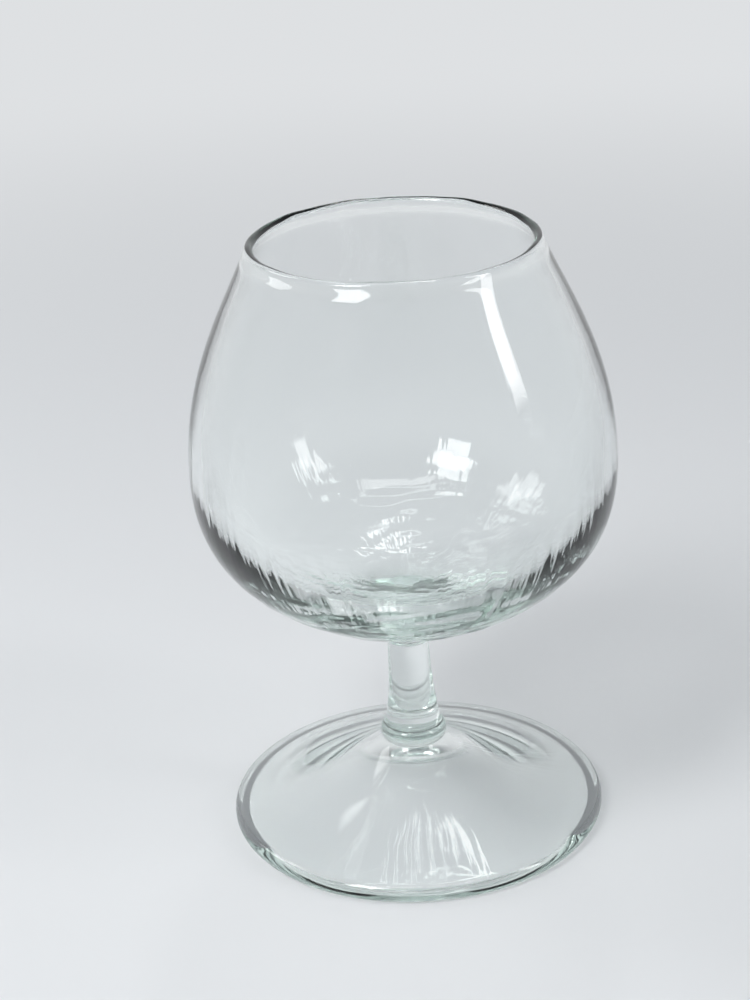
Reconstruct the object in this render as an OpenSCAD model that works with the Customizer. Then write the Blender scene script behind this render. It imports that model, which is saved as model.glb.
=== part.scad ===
// Brandy snifter: a blown balloon bowl on a drawn stem, a collar of glass and a flared, hollow foot.
// The axis is Z, the table is z = 0, and the pieces are fused face to face from the foot upwards.

/* [Bowl] */
// Widest outer diameter
bowl_d = 80; // [68:1:96]
// Height from the underside at the stem to the lip
bowl_h = 80; // [72:1:96]
// Height of the widest place above the underside
belly_h = 36.5; // [30:0.5:44]
// Outer diameter of the mouth
mouth_d = 54; // [44:1:62]
// Lean of the wall inwards at the mouth, in degrees
mouth_lean = 16; // [8:1:24]
// Wall at the widest place
belly_wall = 2.3; // [1.4:0.1:3]
// Wall just below the lip
neck_wall = 1.4; // [1:0.1:2.2]
// Wall at the fire-polished lip
lip_wall = 1.8; // [1.4:0.1:2.6]
// Depth of solid glass under the middle of the inside
floor_t = 10; // [7:0.5:13]
// Height of the small seat that joins the bowl to its stem
seat_h = 0.5; // [0.3:0.1:1]

/* [Stem] */
// Length between the collar and the bowl's seat
stem_l = 18.3; // [14:0.1:50]
// Diameter at the top
stem_top_d = 8; // [6.4:0.1:10]
// Radius of the rounded shoulder at the top
shoulder_r = 0.4; // [0.2:0.05:0.8]
// Diameter where the stem spreads on the collar, and of the seat that the foot gives the collar
stem_foot_d = 11.6; // [10.4:0.1:14]

/* [Collar] */
// Thickness
collar_t = 3.2; // [2:0.1:5]
// How far the rounded edge stands out beyond the faces
collar_bulge = 0.7; // [0.3:0.05:1]

/* [Foot] */
// Outer diameter
foot_d = 73; // [62:1:86]
// Height of the foot up to the collar
foot_h = 16; // [14:0.5:20]
// Thickness of the rounded rim
rim_t = 3.8; // [3:0.1:5]
// Slope of the upper face by the rim, in degrees, which the hollow underneath repeats
foot_slope = 12; // [8:0.5:15]
// Slope of the upper face where it meets the collar, in degrees
neck_slope = 52; // [36:1:64]
// Glass between the collar and the top of the hollow
crown_t = 3.8; // [3:0.1:7]
// Width of the flat standing ring
ring_w = 1.5; // [0.8:0.1:3]

/* [Hidden] */
$fn = 128;
curve_steps = 22;
arc_steps = 10;

// Pull of the outer curve on the way from the seat to the widest place: across, up and down the side
seat_across_share = 0.54;
seat_up_share = 0.3;
belly_down_share = 0.61;
// Pull of the outer curve on the way from the widest place to the mouth
belly_up_share = 0.49;
mouth_down_share = 0.2;
// Pull of the inner curve along the floor and down the side
floor_across_share = 0.6;
inner_down_share = 0.58;
// Share of the upper wall that has gone by where the lip starts to swell
lip_start_share = 0.9;
// Pull of the stem's curve: spread left and height at its lower point, height at its upper point
spread_share = 0.47;
spread_up_share = 0.12;
draw_up_share = 0.5;
// Pull of the foot's upper curve: inwards from the rim, and outwards from the collar
rim_in_share = 0.48;
collar_out_share = 0.17;
// Pull of the hollow's curve: across its top, and inwards from the standing ring
crown_across_share = 0.23;
ring_in_share = 0.42;

bowl_r = bowl_d / 2;
mouth_r = mouth_d / 2;
lip_r = lip_wall / 2;
inner_r = bowl_r - belly_wall;
stem_top_r = stem_top_d / 2;
stem_foot_r = stem_foot_d / 2;
seat_r = stem_top_r - shoulder_r;
foot_r = foot_d / 2;
rim_r = rim_t / 2;

collar_z = foot_h;
stem_z = collar_z + collar_t;
seat_z = stem_z + stem_l;
bowl_z = seat_z + seat_h;

glass = [0.84, 0.92, 0.9, 0.5];

// A number from 0 to 1 that starts and ends gently
function ease(x) = let (c = min(1, max(0, x))) c * c * (3 - 2 * c);

// A point on the cubic curve with the four pull points p, and its direction
function curve_at(p, t) =
    pow(1 - t, 3) * p[0]
    + 3 * pow(1 - t, 2) * t * p[1]
    + 3 * (1 - t) * t * t * p[2]
    + t * t * t * p[3];
function curve_way(p, t) =
    pow(1 - t, 2) * (p[1] - p[0])
    + 2 * (1 - t) * t * (p[2] - p[1])
    + t * t * (p[3] - p[2]);

// Points along the curve p, and on a round about centre c from angle a to angle b
function curve(p) = [for (i = [0:curve_steps]) curve_at(p, i / curve_steps)];
function round_off(c, r, a, b) =
    [for (i = [0:arc_steps]) let (w = a + (b - a) * i / arc_steps) c + r * [cos(w), sin(w)]];
function reversed(p) = [for (i = [len(p) - 1:-1:0]) p[i]];

// Outer side of the bowl, in radius and height above its underside at the stem
lip_centre = [mouth_r - lip_r * cos(mouth_lean), bowl_h - lip_r];
lip_outer = lip_centre + lip_r * [cos(mouth_lean), sin(mouth_lean)];
lower_curve = [
    [seat_r, 0],
    [seat_r + seat_across_share * (bowl_r - seat_r), seat_up_share * belly_h],
    [bowl_r, belly_h - belly_down_share * belly_h],
    [bowl_r, belly_h]
];
upper_curve = [
    [bowl_r, belly_h],
    [bowl_r, belly_h + belly_up_share * (bowl_h - belly_h)],
    lip_outer + mouth_down_share * (bowl_h - belly_h) * [tan(mouth_lean), -1],
    lip_outer
];

// Inner side: a rounded floor, then the outer side moved in by the wall
floor_curve = [
    [0, floor_t],
    [floor_across_share * inner_r, floor_t],
    [inner_r, belly_h - inner_down_share * (belly_h - floor_t)],
    [inner_r, belly_h]
];

// The wall thins from the widest place to the neck, then swells gently into the lip
function wall(t) =
    belly_wall
    + (neck_wall - belly_wall) * ease(t)
    + (lip_wall - neck_wall) * ease((t - lip_start_share) / (1 - lip_start_share));
function inside(t) =
    let (way = curve_way(upper_curve, t), n = way / norm(way))
    curve_at(upper_curve, t) - wall(t) * [n[1], -n[0]];
// Steps get shorter towards the lip, where the wall changes quickly
function step(i) = let (s = i / curve_steps) s * (2 - s);
upper_outside = [for (i = [0:curve_steps]) curve_at(upper_curve, step(i))];
upper_inside = [for (i = [0:curve_steps]) inside(step(i))];

function without_ends(p) = [for (i = [1:len(p) - 2]) p[i]];
bowl_outline = concat(
    [[0, -seat_h], [seat_r, -seat_h]],
    curve(lower_curve),
    without_ends(upper_outside),
    round_off(lip_centre, lip_r, mouth_lean, mouth_lean + 180),
    reversed(without_ends(upper_inside)),
    reversed(curve(floor_curve))
);

module bowl() {
    color(glass)
        translate([0, 0, bowl_z])
            rotate_extrude()
                polygon(bowl_outline);
}

// The stem spreads at its lower end and has a small rounded shoulder at its top
stem_curve = [
    [stem_foot_r, 0],
    [stem_top_r + spread_share * (stem_foot_r - stem_top_r), spread_up_share * stem_l],
    [stem_top_r, draw_up_share * stem_l],
    [stem_top_r, stem_l - shoulder_r]
];
stem_outline = concat(
    [[0, 0]],
    curve(stem_curve),
    [for (i = [1:arc_steps]) let (w = 90 * i / arc_steps)
        [seat_r + shoulder_r * cos(w), stem_l - shoulder_r + shoulder_r * sin(w)]],
    [[0, stem_l]]
);

module stem() {
    color(glass)
        translate([0, 0, stem_z])
            rotate_extrude()
                polygon(stem_outline);
}

// The collar is a wafer with an edge that bulges as one arc from face to face
edge_r = (pow(collar_t / 2, 2) + pow(collar_bulge, 2)) / (2 * collar_bulge);
edge_angle = asin(collar_t / 2 / edge_r);
collar_outline = concat(
    [[0, 0]],
    round_off([stem_foot_r + collar_bulge - edge_r, collar_t / 2], edge_r, -edge_angle, edge_angle),
    [[0, collar_t]]
);

module collar() {
    color(glass)
        translate([0, 0, collar_z])
            rotate_extrude()
                polygon(collar_outline);
}

// The foot's upper face leaves the round of the rim at a gentle slope and sweeps up to the collar
rim_centre = [foot_r - rim_r, rim_r];
rim_top = rim_centre + rim_r * [sin(foot_slope), cos(foot_slope)];
face_span = rim_top[0] - stem_foot_r;
face_curve = [
    rim_top,
    rim_top + rim_in_share * face_span * [-cos(foot_slope), sin(foot_slope)],
    [stem_foot_r, foot_h] + collar_out_share * face_span * [cos(neck_slope), -sin(neck_slope)],
    [stem_foot_r, foot_h]
];

// The hollow underneath starts at the standing ring, runs along under the face and is flat on top
hollow_r = rim_centre[0] - ring_w;
hollow_h = foot_h - crown_t;
hollow_curve = [
    [0, hollow_h],
    [crown_across_share * hollow_r, hollow_h],
    [hollow_r, 0] + ring_in_share * hollow_r * [-cos(foot_slope), sin(foot_slope)],
    [hollow_r, 0]
];
foot_outline = concat(
    curve(hollow_curve),
    round_off(rim_centre, rim_r, -90, 90 - foot_slope),
    without_ends(curve(face_curve)),
    [[stem_foot_r, foot_h], [0, foot_h]]
);

module foot() {
    color(glass)
        rotate_extrude()
            polygon(foot_outline);
}

foot();
collar();
stem();
bowl();
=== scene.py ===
import math

import bpy
import numpy as np
from mathutils import Matrix, Vector


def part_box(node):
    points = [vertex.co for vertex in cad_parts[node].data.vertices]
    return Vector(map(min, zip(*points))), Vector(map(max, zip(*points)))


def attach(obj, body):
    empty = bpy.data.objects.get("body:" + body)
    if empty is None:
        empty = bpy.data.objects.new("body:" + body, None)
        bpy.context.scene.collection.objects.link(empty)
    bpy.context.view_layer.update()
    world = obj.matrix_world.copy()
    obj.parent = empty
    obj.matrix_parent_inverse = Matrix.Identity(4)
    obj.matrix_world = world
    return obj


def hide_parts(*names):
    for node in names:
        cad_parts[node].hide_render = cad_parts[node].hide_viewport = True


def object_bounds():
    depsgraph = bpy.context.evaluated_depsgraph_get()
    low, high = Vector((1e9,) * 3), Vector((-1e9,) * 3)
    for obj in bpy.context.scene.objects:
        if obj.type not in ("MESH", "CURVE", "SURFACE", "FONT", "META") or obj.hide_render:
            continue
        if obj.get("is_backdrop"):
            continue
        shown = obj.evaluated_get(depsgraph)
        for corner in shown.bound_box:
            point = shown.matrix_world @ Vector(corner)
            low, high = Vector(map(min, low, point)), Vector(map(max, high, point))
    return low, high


# A clear glass brandy snifter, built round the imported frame. Everything is in metres, with +Z up.

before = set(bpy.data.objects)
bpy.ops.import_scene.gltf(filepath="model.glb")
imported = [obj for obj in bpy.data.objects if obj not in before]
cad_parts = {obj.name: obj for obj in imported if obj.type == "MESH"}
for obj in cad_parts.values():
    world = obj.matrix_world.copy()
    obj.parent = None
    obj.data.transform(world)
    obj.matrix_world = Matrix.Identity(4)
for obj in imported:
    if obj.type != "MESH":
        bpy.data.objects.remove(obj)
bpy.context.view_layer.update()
mm = 0.001
print("frame loaded:", ", ".join(sorted(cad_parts)))


def linear(hexColour):
    # sRGB to linear: c / 12.92 below 0.04045, else ((c + 0.055) / 1.055) to the power 2.4
    c = np.array([int(hexColour[i:i + 2], 16) for i in (1, 3, 5)]) / 255
    c = np.where(c <= 0.04045, c / 12.92, ((c + 0.055) / 1.055) ** 2.4)
    return (*c.tolist(), 1.0)


def addNode(tree, kind, settings=None, **links):
    # one node: a setting goes to the input of its name, or else to the node's own property, and a link goes
    # to an input. A name of i and a number means the input of that number.
    node = tree.nodes.new(kind)

    def socket(key):
        return node.inputs[int(key[1:])] if key[1:].isdigit() else node.inputs.get(key)

    for key, value in (settings or {}).items():
        if socket(key) is None:
            setattr(node, key, value)
        else:
            socket(key).default_value = value
    for key, source in links.items():
        tree.links.new(source, socket(key))
    return node


def emptyMaterial(name):
    material = bpy.data.materials.new(name)
    material.use_nodes = True
    material.node_tree.nodes.clear()
    return material


def addObject(name, data):
    thing = bpy.data.objects.new(name, data)
    bpy.context.scene.collection.objects.link(thing)
    return thing


# Camera: set up where the photograph was taken, above and in front of the glass and leaning a little

cameraLook = {
    "place": Vector((0.0, -388.4, 236.1)) * mm,
    "pitch": 0.4116,          # radians below level
    "yaw": -0.0145,
    "roll": -0.0511,
    "lens": 80.95,            # mm on a 36 mm long side
}


def makeCamera(look):
    # forward is turned down by pitch and aside by yaw, and roll turns the picture about it
    pitch, yaw, roll = look["pitch"], look["yaw"], look["roll"]
    forward = Vector((math.sin(yaw) * math.cos(pitch), math.cos(yaw) * math.cos(pitch), -math.sin(pitch)))
    right = Vector((math.cos(yaw), -math.sin(yaw), 0))
    up = right.cross(forward)
    across = right * math.cos(roll) + up * math.sin(roll)
    upwards = up * math.cos(roll) - right * math.sin(roll)
    turn = Matrix((across, upwards, -forward)).transposed()
    camera = addObject("camera", bpy.data.cameras.new("camera"))
    camera.matrix_world = Matrix.Translation(look["place"]) @ turn.to_4x4()
    camera.data.lens = look["lens"]
    camera.data.clip_start = 0.01
    camera.data.clip_end = 50
    bpy.context.scene.camera = camera


makeCamera(cameraLook)
print("camera in place")


# Curves and surfaces that every piece uses

def pace(steps, early=1.0, late=1.0):
    # values from 0 to 1: 1 - (1 - s^early)^late for evenly spaced s. Above 1, early gathers them at the
    # start, and late at the end.
    return 1 - (1 - np.linspace(0, 1, steps + 1)**early)**late


def bezier(points, t):
    # cubic curve: (1-t)^3 a + 3 (1-t)^2 t b + 3 (1-t) t^2 c + t^3 d, for all values of t at once
    a, b, c, d = np.array(points, float)
    t = t[:, None]
    s = 1 - t
    return s**3 * a + 3 * s * s * t * b + 3 * s * t * t * c + t**3 * d


def arc(centre, radius, start, end, steps):
    # points on a round: centre + radius (cos w, sin w), w from start to end in degrees
    w = np.radians(np.linspace(start, end, steps + 1))[:, None]
    return np.array(centre, float) + radius * np.hstack([np.cos(w), np.sin(w)])


def line(start, end, steps):
    # evenly spaced points from start to end
    t = np.linspace(0, 1, steps + 1)[:, None]
    return np.array(start, float) * (1 - t) + np.array(end, float) * t


def ease(x):
    # 0 to 1 with a gentle start and end: 3 x^2 - 2 x^3
    x = np.clip(x, 0, 1)
    return x * x * (3 - 2 * x)


def joined(*runs):
    # one outline from runs of points, without the points that repeat where two runs meet
    points = np.vstack(runs)
    apart = np.linalg.norm(np.diff(points, axis=0), axis=1) > 0.0001 * mm
    return points[np.concatenate([[True], apart])]


def outlineNormals(outline):
    # the outward side at each point: the way from the point before it to the one after it, turned a quarter
    way = np.gradient(outline, axis=0)
    way /= np.linalg.norm(way, axis=1)[:, None]
    return np.stack([way[:, 1], -way[:, 0]], axis=1)


def addSines(value, angle, parts):
    # the value plus size * sin(n angle + phase) for each part (size, n, phase)
    for size, n, phase in parts:
        value = value + size * np.sin(n * angle + phase)
    return value


def waves(seed, count, around, along, angle, s):
    # a sum of soft waves with seeded sizes and phases: each is cos(n angle + 2 pi s / length + phase), with
    # s the way along the outline. It is divided so that its size doesn't grow with their number.
    rng = np.random.default_rng(seed)
    n = rng.integers(*around, count)
    length = rng.uniform(*along, count) * rng.choice([-1, 1], count)
    phase = rng.uniform(0, 2 * math.pi, count)
    total = np.zeros((len(s), len(angle)))
    for k in range(count):
        total += np.cos(n[k] * angle[None, :] + (2 * math.pi * s / length[k])[:, None] + phase[k])
    return total / math.sqrt(count / 2)


def turnedPiece(name, outline, turns, shift, push=None, drop=None):
    # surface of two parameters, the point i of the outline and the angle a = 2 pi j / turns:
    # ((r + p nr) cos a + m, (r + p nr) sin a, z + p nz - d). Here p = push(i, a) is along the outline's
    # normal (nr, nz), d = drop(i, a) is straight down and m = shift(height) is sideways. The first and last
    # points lie on the axis and become one vertex each.
    angle = np.arange(turns) * 2 * math.pi / turns
    normal = outlineNormals(outline)
    run = np.concatenate([[0], np.cumsum(np.linalg.norm(np.diff(outline, axis=0), axis=1))])
    p = np.zeros((len(outline), turns)) if push is None else push(outline, run, angle)
    d = 0 if drop is None else drop(run, angle)
    r = outline[:, :1] + p * normal[:, :1]
    z = outline[:, 1:] + p * normal[:, 1:] - d
    x, y = r * np.cos(angle) + shift(z), r * np.sin(angle)
    inner = np.stack([x, y, z], axis=2)[1:-1].reshape(-1, 3)
    ends = np.array([[float(x[0].mean()), 0, z[0].mean()], [float(x[-1].mean()), 0, z[-1].mean()]])
    points = np.vstack([inner, ends])
    rows = len(outline) - 2
    j = np.arange(turns)
    k = (j + 1) % turns
    base = (np.arange(rows - 1) * turns)[:, None]
    quads = np.stack([base + j, base + k, base + turns + k, base + turns + j], axis=2).reshape(-1, 4)
    first, last = rows * turns, rows * turns + 1
    low = np.stack([np.full(turns, first), k, j], axis=1)
    high = np.stack([np.full(turns, last), (rows - 1) * turns + j, (rows - 1) * turns + k], axis=1)
    mesh = bpy.data.meshes.new(name)
    mesh.from_pydata(points.tolist(), [], quads.tolist() + low.tolist() + high.tolist())
    mesh.polygons.foreach_set("use_smooth", np.ones(len(mesh.polygons), bool))
    mesh.update()
    return addObject(name, mesh)


def standFor(piece, node, material):
    # the piece stands for its CAD node, rides with it and takes the glass finish
    piece.data.materials.append(material)
    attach(piece, "root")
    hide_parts(node)
    print(piece.name, "made:", len(piece.data.polygons), "faces")


# Soda-lime glass: clear, with sharp reflections and a faint green that shows only where light runs a long
# way through it. How each piece was made shows in its ripples and marks, which bend what is seen in it.

glassLook = {
    "ior": 1.52,
    "surface": "#fdfefe",
    "tint": "#a6edd4",        # the glass takes density * (1 - tint) of each colour per metre,
    "density": 5.5,           # so 10 mm of it takes 3% of the red and 1% of the green
    "through": 0.58,          # share of the light that goes straight on through one face, besides bent rays
}


def addMarks(tree, place, normal, look):
    # fine upright marks: noise on a circle of radius around, read by the direction from the axis, so that
    # they run together in the middle, times a share that falls from 1 to 0 between the heights full and gone
    vectors = "ShaderNodeVectorMath"
    flat = addNode(tree, vectors, {"operation": "MULTIPLY", "i1": (1, 1, 0)}, i0=place)
    way = addNode(tree, vectors, {"operation": "NORMALIZE"}, i0=flat.outputs["Vector"])
    climb = addNode(tree, vectors, {"operation": "MULTIPLY", "i1": (0, 0, 1 / look["length"])}, i0=place)
    spot = addNode(tree, vectors, {"operation": "MULTIPLY_ADD", "i1": [look["around"]] * 3},
                   i0=way.outputs["Vector"], i2=climb.outputs["Vector"])
    noise = addNode(tree, "ShaderNodeTexNoise", {"Scale": 1.0, "Detail": 2.0, "Roughness": 0.6},
                    Vector=spot.outputs["Vector"])
    height = addNode(tree, "ShaderNodeSeparateXYZ", None, i0=place).outputs["Z"]
    share = addNode(tree, "ShaderNodeMapRange", {
        "interpolation_type": "SMOOTHSTEP",
        "From Min": look["full"], "From Max": look["gone"], "To Min": 1.0, "To Max": 0.0,
    }, i0=height)
    faded = addNode(tree, "ShaderNodeMath", {"operation": "MULTIPLY"}, i0=noise.outputs["Fac"],
                    i1=share.outputs["Result"])
    bump = addNode(tree, "ShaderNodeBump", {"Strength": 1.0, "Distance": look["height"]},
                   Height=faded.outputs["Value"], Normal=normal)
    return bump.outputs["Normal"]


def makeGlass(name, finish):
    # clear glass with slow ripples, which are noise of the finish's sizes along X, Y and Z, and its marks
    material = emptyMaterial(name)
    tree = material.node_tree
    place = addNode(tree, "ShaderNodeTexCoord").outputs["Object"]
    scaled = addNode(tree, "ShaderNodeMapping", {"Scale": [1 / size for size in finish["ripples"]]},
                     i0=place)
    ripple = addNode(tree, "ShaderNodeTexNoise", {"Scale": 1.0, "Detail": 2.0, "Roughness": 0.45},
                     Vector=scaled.outputs["Vector"])
    bump = addNode(tree, "ShaderNodeBump", {"Strength": 1.0, "Distance": finish["rippleHeight"]},
                   Height=ripple.outputs["Fac"])
    normal = bump.outputs["Normal"]
    if "marks" in finish:
        normal = addMarks(tree, place, normal, finish["marks"])
    clear = addNode(tree, "ShaderNodeBsdfPrincipled", {
        "Base Color": linear(glassLook["surface"]),
        "Transmission Weight": 1.0,
        "Roughness": 0.0,
        "IOR": glassLook["ior"],
    }, Normal=normal)
    # part of the light goes straight on, so that the board under the foot is as pale as beside it
    through = addNode(tree, "ShaderNodeBsdfTransparent", {"Color": [glassLook["through"]] * 3 + [1.0]})
    ray = addNode(tree, "ShaderNodeLightPath").outputs
    surface = addNode(tree, "ShaderNodeMixShader", None, i0=ray["Is Shadow Ray"], i1=clear.outputs["BSDF"],
                      i2=through.outputs["BSDF"])
    depth = addNode(tree, "ShaderNodeVolumeAbsorption", {
        "Color": linear(glassLook["tint"]),
        "Density": glassLook["density"],
    })
    addNode(tree, "ShaderNodeOutputMaterial", None, Surface=surface.outputs["Shader"],
            Volume=depth.outputs["Volume"])
    return material


# Where the pieces meet, read from the frame

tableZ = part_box("foot")[0].z
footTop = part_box("foot")[1].z
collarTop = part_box("collar")[1].z
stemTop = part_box("stem")[1].z
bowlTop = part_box("bowl")[1].z
lap = 0.02 * mm               # how far one piece reaches into the next, as fused glass has no gap
cornerR = 0.12 * mm           # softened corner where a face meets an edge
print("heights in mm:", [round(v / mm, 2) for v in (tableZ, footTop, collarTop, stemTop, bowlTop)])


leanLook = {
    "collar": -0.3 * mm,      # how far the hand-set collar and stem lie off the axis, along X
    "stem": -0.3 * mm,        # and how much further the stem's top has gone
    "startShare": 0.5,        # share of the foot's height where it begins
    "settle": 9 * mm,         # height of the bowl's solid bottom over which it ends
}


def lean(z):
    # sideways shift at height z: it eases in up the foot's face, grows along the stem and eases out in the
    # solid bottom of the bowl
    start = leanLook["startShare"] * footTop
    shift = leanLook["collar"] * ease((z - start) / (footTop - start))
    shift = shift + leanLook["stem"] * ease((z - collarTop) / (stemTop - collarTop))
    return shift * (1 - ease((z - stemTop) / leanLook["settle"]))


# In the shapes, turns is the number of steps round the axis, and a name that ends in Share is how far a
# curve keeps its direction from one end, as a share of its reach, unless its own note says otherwise.

# Foot: cast and spread while hot, with a rolled rim, a face that sweeps up to the collar in one curve and
# a deep hollow underneath

footShape = {
    "turns": 384,
    "rim": 3.8 * mm,
    "slope": 12.0,            # degrees, of the face by the rim and of the hollow under it
    "neckSlope": 52.0,        # degrees, of the face where it meets the collar
    "seatR": 5.8 * mm,        # radius of the seat under the collar
    "crown": 3.8 * mm,        # glass between the collar and the top of the hollow
    "ring": 1.5 * mm,         # width of the flat ring on which it stands
    "rimInShare": 0.48,
    "collarOutShare": 0.17,
    "crownAcrossShare": 0.23,
    "ringInShare": 0.42,
    "waveHeight": 0.008 * mm,
    "waveStart": 2 * mm,      # distance from the seat where the waves begin, and over which they grow
    "waveGrow": 5 * mm,
    "waveEnd": 9 * mm,        # distance from the ring where they start to fade, and over which they do
    "waveFade": 8 * mm,
    "waves": (7, 14, (2, 9), (9 * mm, 22 * mm)),   # seed, number, waves round the foot and length along it
}


def makeFoot(s):
    # outline out from the axis and back: the hollow, a softened edge, the flat ring, the round rim, the
    # face and the seat. The hollow and the face are cubic curves with the same slope at the rim.
    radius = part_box("foot")[1].x
    rimR = s["rim"] / 2
    rimAt = np.array([radius - rimR, tableZ + rimR])
    slope, steep = math.radians(s["slope"]), math.radians(s["neckSlope"])
    upInwards = np.array([-math.cos(slope), math.sin(slope)])
    top = rimAt + rimR * np.array([math.sin(slope), math.cos(slope)])
    seatAt = np.array([s["seatR"], footTop + lap])
    span = top[0] - seatAt[0]
    face = bezier([
        top,
        top + s["rimInShare"] * span * upInwards,
        seatAt + s["collarOutShare"] * span * np.array([math.cos(steep), -math.sin(steep)]),
        seatAt,
    ], pace(95))
    ringIn = rimAt[0] - s["ring"]
    crown = footTop - s["crown"]
    edge = np.array([ringIn - cornerR, tableZ])
    hollow = bezier([
        (0, crown),
        (s["crownAcrossShare"] * ringIn, crown),
        edge + s["ringInShare"] * ringIn * upInwards,
        edge,
    ], pace(95))
    outline = joined(
        hollow[:-1],
        bezier([hollow[-2], edge, (ringIn, tableZ), (ringIn + cornerR, tableZ)], pace(6)),
        line((ringIn + cornerR, tableZ), rimAt - np.array([0, rimR]), steps=4),
        arc(rimAt, rimR, -90, 90 - s["slope"], steps=30),
        face,
        line(seatAt, (0, seatAt[1]), steps=10),
    )

    def push(outline, run, angle):
        # slow seeded waves on the face and the hollow, none on the standing ring, the rim or by the collar
        r = outline[:, :1]
        grow = ease((r - s["seatR"] - s["waveStart"]) / s["waveGrow"])
        stay = 1 - ease((r - ringIn + s["waveEnd"]) / s["waveFade"])
        return s["waveHeight"] * (grow * stay) * waves(*s["waves"], angle, run)

    return turnedPiece("foot_glass", outline, s["turns"], lean, push)


# Cast and spread: broad faint ripples, and marks from the spreading that only make its reflections shimmer
footFinish = {
    "ripples": (9 * mm, 9 * mm, 9 * mm),
    "rippleHeight": 0.01 * mm,
    "marks": {
        "around": 22.0,       # which gives about 70 marks round the foot
        "length": 60 * mm,
        "full": footTop,
        "gone": footTop + 1 * mm,
        "height": 0.005 * mm,
    },
}

standFor(makeFoot(footShape), "foot", makeGlass("glass_cast_foot", footFinish))


# Collar: a wafer of glass whose edge bulges as one arc from face to face

collarShape = {
    "turns": 256,
    "faceR": 5.8 * mm,
    "bulge": 0.7 * mm,        # how far the edge stands out from the faces
}


def makeCollar(s):
    # the edge is an arc between the faces that stands out by the bulge b: with h half their distance, its
    # radius is (h^2 + b^2) / (2 b), and it swings by asin(h / radius) to each side
    low, high = footTop, collarTop + lap
    half = (high - low) / 2
    edgeR = (half**2 + s["bulge"]**2) / (2 * s["bulge"])
    swing = math.degrees(math.asin(half / edgeR))
    centre = (s["faceR"] + s["bulge"] - edgeR, (low + high) / 2)
    outline = joined(
        line((0, low), (s["faceR"], low), steps=12),
        arc(centre, edgeR, -swing, swing, steps=40),
        line((s["faceR"], high), (0, high), steps=12),
    )
    return turnedPiece("collar_glass", outline, s["turns"], lean)


# Pressed: nearly smooth, so light lies on it in clean bands
collarFinish = {"ripples": (6 * mm, 6 * mm, 6 * mm), "rippleHeight": 0.005 * mm}

standFor(makeCollar(collarShape), "collar", makeGlass("glass_pressed_collar", collarFinish))


# Stem: drawn down while hot, so it spreads at its foot and has a small round shoulder at its top

stemShape = {
    "turns": 256,
    "topR": 4.0 * mm,
    "footR": 5.8 * mm,
    "shoulder": 0.4 * mm,
    "spreadShare": 0.47,
    "spreadUpShare": 0.12,
    "drawUpShare": 0.5,
}


def makeStem(s):
    # outline from the axis: the lower face, a cubic curve up from the spread foot, the round shoulder and
    # the upper face
    low, high = collarTop, stemTop
    length = high - low
    side = bezier([
        (s["footR"], low),
        (s["topR"] + s["spreadShare"] * (s["footR"] - s["topR"]), low + s["spreadUpShare"] * length),
        (s["topR"], low + s["drawUpShare"] * length),
        (s["topR"], high - s["shoulder"]),
    ], pace(90))
    outline = joined(
        line((0, low), (s["footR"], low), steps=12),
        side,
        arc((s["topR"] - s["shoulder"], high - s["shoulder"]), s["shoulder"], 0, 90, steps=10),
        line((s["topR"] - s["shoulder"], high), (0, high), steps=10),
    )
    return turnedPiece("stem_glass", outline, s["turns"], lean)


# Drawn: its ripples are pulled out along Z, so that what is seen in it wavers in upright streaks
stemFinish = {"ripples": (4 * mm, 4 * mm, 20 * mm), "rippleHeight": 0.005 * mm}

standFor(makeStem(stemShape), "stem", makeGlass("glass_drawn_stem", stemFinish))


# Bowl: blown, with a heavy bottom, a wall that thins upwards and a fire-polished lip

bowlShape = {
    "turns": 368,
    "bellyUp": 36.5 * mm,     # height of the widest place above the underside
    "mouthR": 27.0 * mm,
    "inwards": 16.0,          # degrees that the wall leans in at the mouth
    "bellyWall": 2.3 * mm,
    "neckWall": 1.4 * mm,
    "lipWall": 1.8 * mm,
    "floor": 10.0 * mm,       # solid glass under the middle of the inside
    "seat": 0.5 * mm,         # height of the small seat on the stem, and its radius
    "seatR": 3.6 * mm,
    "seatAcrossShare": 0.54,
    "seatUpShare": 0.3,
    "bellyDownShare": 0.61,
    "bellyUpShare": 0.49,
    "mouthDownShare": 0.2,
    "floorAcrossShare": 0.6,
    "innerDownShare": 0.58,
    "lipStartShare": 0.9,     # share of the way from the belly to the lip where the wall starts to swell
    # soft upright flutes that the mould left inside the lower half
    "flutes": 33,
    "fluteHeight": 0.024 * mm,
    "fluteDrift": ((0.9, 2, 1), (0.7, 5, 2)),       # sines by which they drift sideways
    "fluteUneven": ((0.35, 3, 0.5), (0.3, 8, 4)),   # and by which their heights differ
    "ridge": 3.0,             # how narrow their ridges are, and the mean that is taken off
    "ridgeMean": 0.24,
    "fluteStart": 5 * mm,     # distance from the axis where they begin, and over which they grow
    "fluteGrow": 12 * mm,
    "fluteTop": 22 * mm,      # height where they start to fade, and over which they do
    "fluteFade": 20 * mm,
    # chill marks on both sides of the heavy bottom
    "crinkle": 0.045 * mm,
    "crinkles": (3, 26, (3, 19), (3 * mm, 8 * mm)),   # as the foot's waves
    "crinkleGrow": 3 * mm,    # distance from the seat over which they grow
    "crinkleTop": 13 * mm,    # height where they start to fade, and over which they do
    "crinkleFade": 9 * mm,
    # the lip was cut and melted round by hand, so it dips from its full height by up to lipWave
    "lipWave": 0.5 * mm,
    "lipSines": ((0.16, 2, 2), (0.12, 5, 0), (0.1, 9, 1), (0.07, 14, 3), (0.05, 23, 0)),
    "lipReach": 7 * mm,       # distance from the lip at which the dip has ended
}


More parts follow.
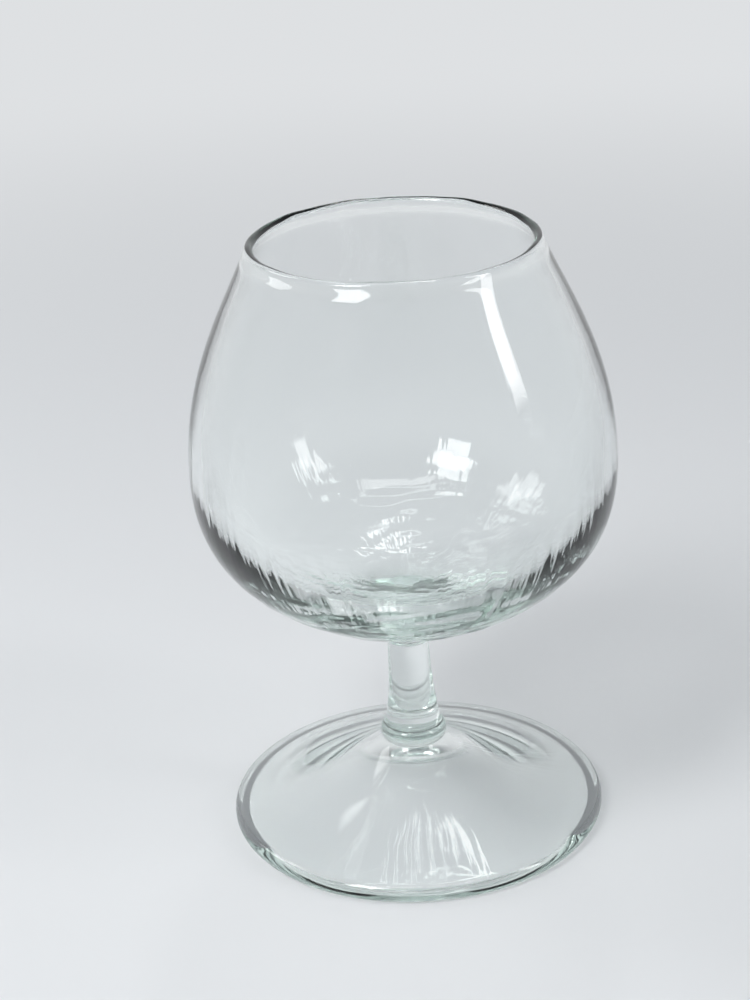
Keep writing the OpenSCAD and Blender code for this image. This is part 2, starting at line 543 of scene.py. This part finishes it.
def makeBowl(s):
    # outline from the axis: the seat, two cubic curves up the outside that meet upright at the widest
    # place, the round lip, the upper inside and a cubic curve down to the middle of the floor
    base = stemTop + s["seat"]
    height = bowlTop - base
    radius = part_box("bowl")[1].x
    inwards = math.radians(s["inwards"])
    lipR = s["lipWall"] / 2
    lipAt = np.array([s["mouthR"] - lipR * math.cos(inwards), height - lipR])
    lipOut = lipAt + lipR * np.array([math.cos(inwards), math.sin(inwards)])
    innerR = radius - s["bellyWall"]
    above = height - s["bellyUp"]
    lower = bezier([
        (s["seatR"], 0),
        (s["seatR"] + s["seatAcrossShare"] * (radius - s["seatR"]), s["seatUpShare"] * s["bellyUp"]),
        (radius, s["bellyUp"] * (1 - s["bellyDownShare"])),
        (radius, s["bellyUp"]),
    ], pace(72, early=1.2))
    t = pace(40, late=1.6)
    upper = bezier([
        (radius, s["bellyUp"]),
        (radius, s["bellyUp"] + s["bellyUpShare"] * above),
        lipOut + s["mouthDownShare"] * above * np.array([math.tan(inwards), -1]),
        lipOut,
    ], t)
    # the upper inside is the outside moved in by the wall, which thins and then swells into the lip
    last = s["lipStartShare"]
    wall = (s["bellyWall"] + (s["neckWall"] - s["bellyWall"]) * ease(t)
            + (s["lipWall"] - s["neckWall"]) * ease((t - last) / (1 - last)))
    inside = upper - outlineNormals(upper) * wall[:, None]
    floor = bezier([
        (0, s["floor"]),
        (s["floorAcrossShare"] * innerR, s["floor"]),
        (innerR, s["bellyUp"] - s["innerDownShare"] * (s["bellyUp"] - s["floor"])),
        (innerR, s["bellyUp"]),
    ], pace(84, early=1.2))
    low = -s["seat"] - lap
    outline = joined(
        line((0, low), (s["seatR"] - cornerR, low), steps=8),
        arc((s["seatR"] - cornerR, low + cornerR), cornerR, -90, 0, steps=5),
        line((s["seatR"], low + cornerR), (s["seatR"], 0), steps=3),
        lower,
        upper[:-1],
        arc(lipAt, lipR, s["inwards"], s["inwards"] + 180, steps=16),
        inside[-2:0:-1],
        floor[::-1],
    )
    outline[:, 1] += base
    top = int(np.argmax(outline[:, 1]))

    def push(outline, run, angle):
        # flutes on the inside, exp(ridge (cos f - 1)) less its mean, that fade at the belly and near the
        # middle of the floor, and crinkles from seeded waves on both sides of the bottom
        r, z = outline[:, 0], outline[:, 1] - base
        within = (np.arange(len(outline)) > top)[:, None]
        turn = addSines(s["flutes"] * angle, angle, s["fluteDrift"])
        uneven = addSines(1, angle, s["fluteUneven"])
        ridge = (np.exp(s["ridge"] * (np.cos(turn) - 1)) - s["ridgeMean"]) * uneven
        grow = ease((r - s["fluteStart"]) / s["fluteGrow"])
        stay = 1 - ease((z - s["fluteTop"]) / s["fluteFade"])
        flutes = s["fluteHeight"] * (grow * stay)[:, None] * ridge[None, :] * within
        bottom = 1 - ease((z - s["crinkleTop"]) / s["crinkleFade"])
        bottom = bottom * ease((r - s["seatR"]) / s["crinkleGrow"]) * (z > 0)
        return flutes + s["crinkle"] * bottom[:, None] * waves(*s["crinkles"], angle, run)

    def drop(run, angle):
        # a half plus sines whose sizes add up to a half, so never below 0 or above 1, and less away from
        # the lip
        near = 1 - ease(np.abs(run - run[top]) / s["lipReach"])
        dip = addSines(0.5, angle, s["lipSines"])
        return s["lipWave"] * near[:, None] * dip[None, :]

    return turnedPiece("bowl_glass", outline, s["turns"], lean, push, drop)


# Blown: slow ripples in which reflections swim a little, and the mould's upright marks, which break them up
# in the lower part
bowlFinish = {
    "ripples": (12 * mm, 12 * mm, 12 * mm),
    "rippleHeight": 0.02 * mm,
    "marks": {
        # which gives about 35 marks round the bowl: the real ones are finer and only blur at this size, so
        # they are drawn as coarse as the flutes
        "around": 12.0,
        "length": 80 * mm,
        "full": stemTop + 18 * mm,
        "gone": stemTop + 50 * mm,
        "height": 0.12 * mm,
    },
}

standFor(makeBowl(bowlShape), "bowl", makeGlass("glass_blown_bowl", bowlFinish))


# Stage: a plain pale floor, a world that is pale at the horizon and darker overhead, and soft lamps

stageLook = {
    "floor": "#e0e2e4",
    "floorR": 4.0,
    "nearR": 0.2,             # metres from the glass between which the floor takes the tone of the horizon
    "farR": 0.65,
    "horizon": "#c6c8ca",
    "overhead": "#5c6064",
    "paleTo": 0.3,            # Z of a direction up to which the world is as pale as the horizon
    "darkFrom": 0.85,         # and from which it is as dark as overhead
    "glow": 1.3,
}


def makeFloor(look):
    side = look["floorR"]
    corners = [(-side, -side, 0), (side, -side, 0), (side, side, 0), (-side, side, 0)]
    mesh = bpy.data.meshes.new("floor")
    mesh.from_pydata(corners, [], [(0, 1, 2, 3)])
    floor = addObject("floor", mesh)
    # matt painted board: no shine, and soft shadows
    material = emptyMaterial("floor_matt_board")
    tree = material.node_tree
    near = addNode(tree, "ShaderNodeBsdfDiffuse", {"Color": linear(look["floor"])})
    # far out, what the eye, a reflection or the glass sees of the floor is as pale as the horizon
    far = addNode(tree, "ShaderNodeEmission", {"Color": linear(look["horizon"]), "Strength": look["glow"]})
    place = addNode(tree, "ShaderNodeTexCoord").outputs["Object"]
    away = addNode(tree, "ShaderNodeVectorMath", {"operation": "LENGTH"}, i0=place)
    share = addNode(tree, "ShaderNodeMapRange", {
        "interpolation_type": "SMOOTHSTEP", "From Min": look["nearR"], "From Max": look["farR"],
    }, i0=away.outputs["Value"])
    ray = addNode(tree, "ShaderNodeLightPath").outputs
    mirrored = addNode(tree, "ShaderNodeMath", {"operation": "MAXIMUM"}, i0=ray["Is Camera Ray"],
                       i1=ray["Is Glossy Ray"])
    seen = addNode(tree, "ShaderNodeMath", {"operation": "MAXIMUM"}, i0=mirrored.outputs["Value"],
                   i1=ray["Is Transmission Ray"])
    both = addNode(tree, "ShaderNodeMath", {"operation": "MULTIPLY"}, i0=share.outputs["Result"],
                   i1=seen.outputs["Value"])
    mixed = addNode(tree, "ShaderNodeMixShader", None, i0=both.outputs["Value"], i1=near.outputs["BSDF"],
                    i2=far.outputs["Emission"])
    addNode(tree, "ShaderNodeOutputMaterial", None, Surface=mixed.outputs["Shader"])
    mesh.materials.append(material)
    floor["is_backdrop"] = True


def makeWorld(look):
    # a direction's tone eases from the horizon's to the overhead one as its Z goes from paleTo to darkFrom
    world = bpy.data.worlds.new("studio")
    bpy.context.scene.world = world
    world.use_nodes = True
    tree = world.node_tree
    tree.nodes.clear()
    way = addNode(tree, "ShaderNodeTexCoord").outputs["Generated"]
    height = addNode(tree, "ShaderNodeSeparateXYZ", None, i0=way).outputs["Z"]
    ramp = addNode(tree, "ShaderNodeValToRGB", None, i0=height)
    ramp.color_ramp.interpolation = "EASE"
    low, high = ramp.color_ramp.elements
    low.position, low.color = look["paleTo"], linear(look["horizon"])
    high.position, high.color = look["darkFrom"], linear(look["overhead"])
    light = addNode(tree, "ShaderNodeBackground", {"Strength": look["glow"]}, i0=ramp.outputs["Color"])
    addNode(tree, "ShaderNodeOutputWorld", None, Surface=light.outputs["Background"])


# softboxes: azimuth and elevation in degrees (the camera is at azimuth 0), distance, width and height in
# metres, and how bright the middle of the cloth is
lamps = {
    "key": (-42, 48, 0.85, 0.3, 0.46, 13.0),
    "side": (70, 30, 0.95, 0.18, 0.7, 7.0),
    "rear": (-112, 40, 0.95, 0.32, 0.5, 4.5),
    "slim": (172.5, 56, 1.2, 0.1, 0.45, 9.0),
    "top": (5, 78, 0.9, 0.7, 0.1, 4.0),
}
clothEdge = 0.65              # share of the way to the edge where the light starts to fall off


def makeLamp(name, azimuth, elevation, distance, width, height, glow):
    # a cloth face whose light falls off to its edges: glow times ease((1 - d) / (1 - clothEdge)), where d is
    # the larger of the distances from the middle across and along, as shares of half the face
    a, e = math.radians(azimuth), math.radians(elevation)
    back = Vector((math.sin(a) * math.cos(e), -math.cos(a) * math.cos(e), math.sin(e)))
    x, y = width / 2, height / 2
    mesh = bpy.data.meshes.new(name)
    mesh.from_pydata([(-x, -y, 0), (-x, y, 0), (x, y, 0), (x, -y, 0)], [], [(0, 1, 2, 3)])
    mesh.uv_layers.new(name="face").data.foreach_set("uv", (-1, -1, -1, 1, 1, 1, 1, -1))
    lamp = addObject(name, mesh)
    turn = back.to_track_quat("Z", "Y").to_matrix().to_4x4()
    lamp.matrix_world = Matrix.Translation(back * distance + Vector((0, 0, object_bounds()[1].z / 2))) @ turn
    lamp.visible_camera = False
    material = emptyMaterial(name + "_cloth")
    tree = material.node_tree
    face = addNode(tree, "ShaderNodeUVMap", {"uv_map": "face"}).outputs["UV"]
    span = addNode(tree, "ShaderNodeVectorMath", {"operation": "ABSOLUTE"}, i0=face).outputs["Vector"]
    parts = addNode(tree, "ShaderNodeSeparateXYZ", None, i0=span)
    far = addNode(tree, "ShaderNodeMath", {"operation": "MAXIMUM"}, i0=parts.outputs["X"],
                  i1=parts.outputs["Y"])
    soft = addNode(tree, "ShaderNodeMapRange", {
        "interpolation_type": "SMOOTHSTEP",
        "From Min": 1.0, "From Max": clothEdge, "To Min": 0.0, "To Max": glow,
    }, i0=far.outputs["Value"])
    light = addNode(tree, "ShaderNodeEmission", None, Strength=soft.outputs["Result"])
    addNode(tree, "ShaderNodeOutputMaterial", None, Surface=light.outputs["Emission"])
    mesh.materials.append(material)
    lamp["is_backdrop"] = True


makeFloor(stageLook)
makeWorld(stageLook)
for lampName, lampValues in lamps.items():
    makeLamp(lampName, *lampValues)
print("stage and lamps set")

bpy.context.scene.view_settings.view_transform = "Standard"
bpy.context.scene.cycles.max_bounces = 24
bpy.context.scene.cycles.transmission_bounces = 24
bpy.context.scene.cycles.glossy_bounces = 12
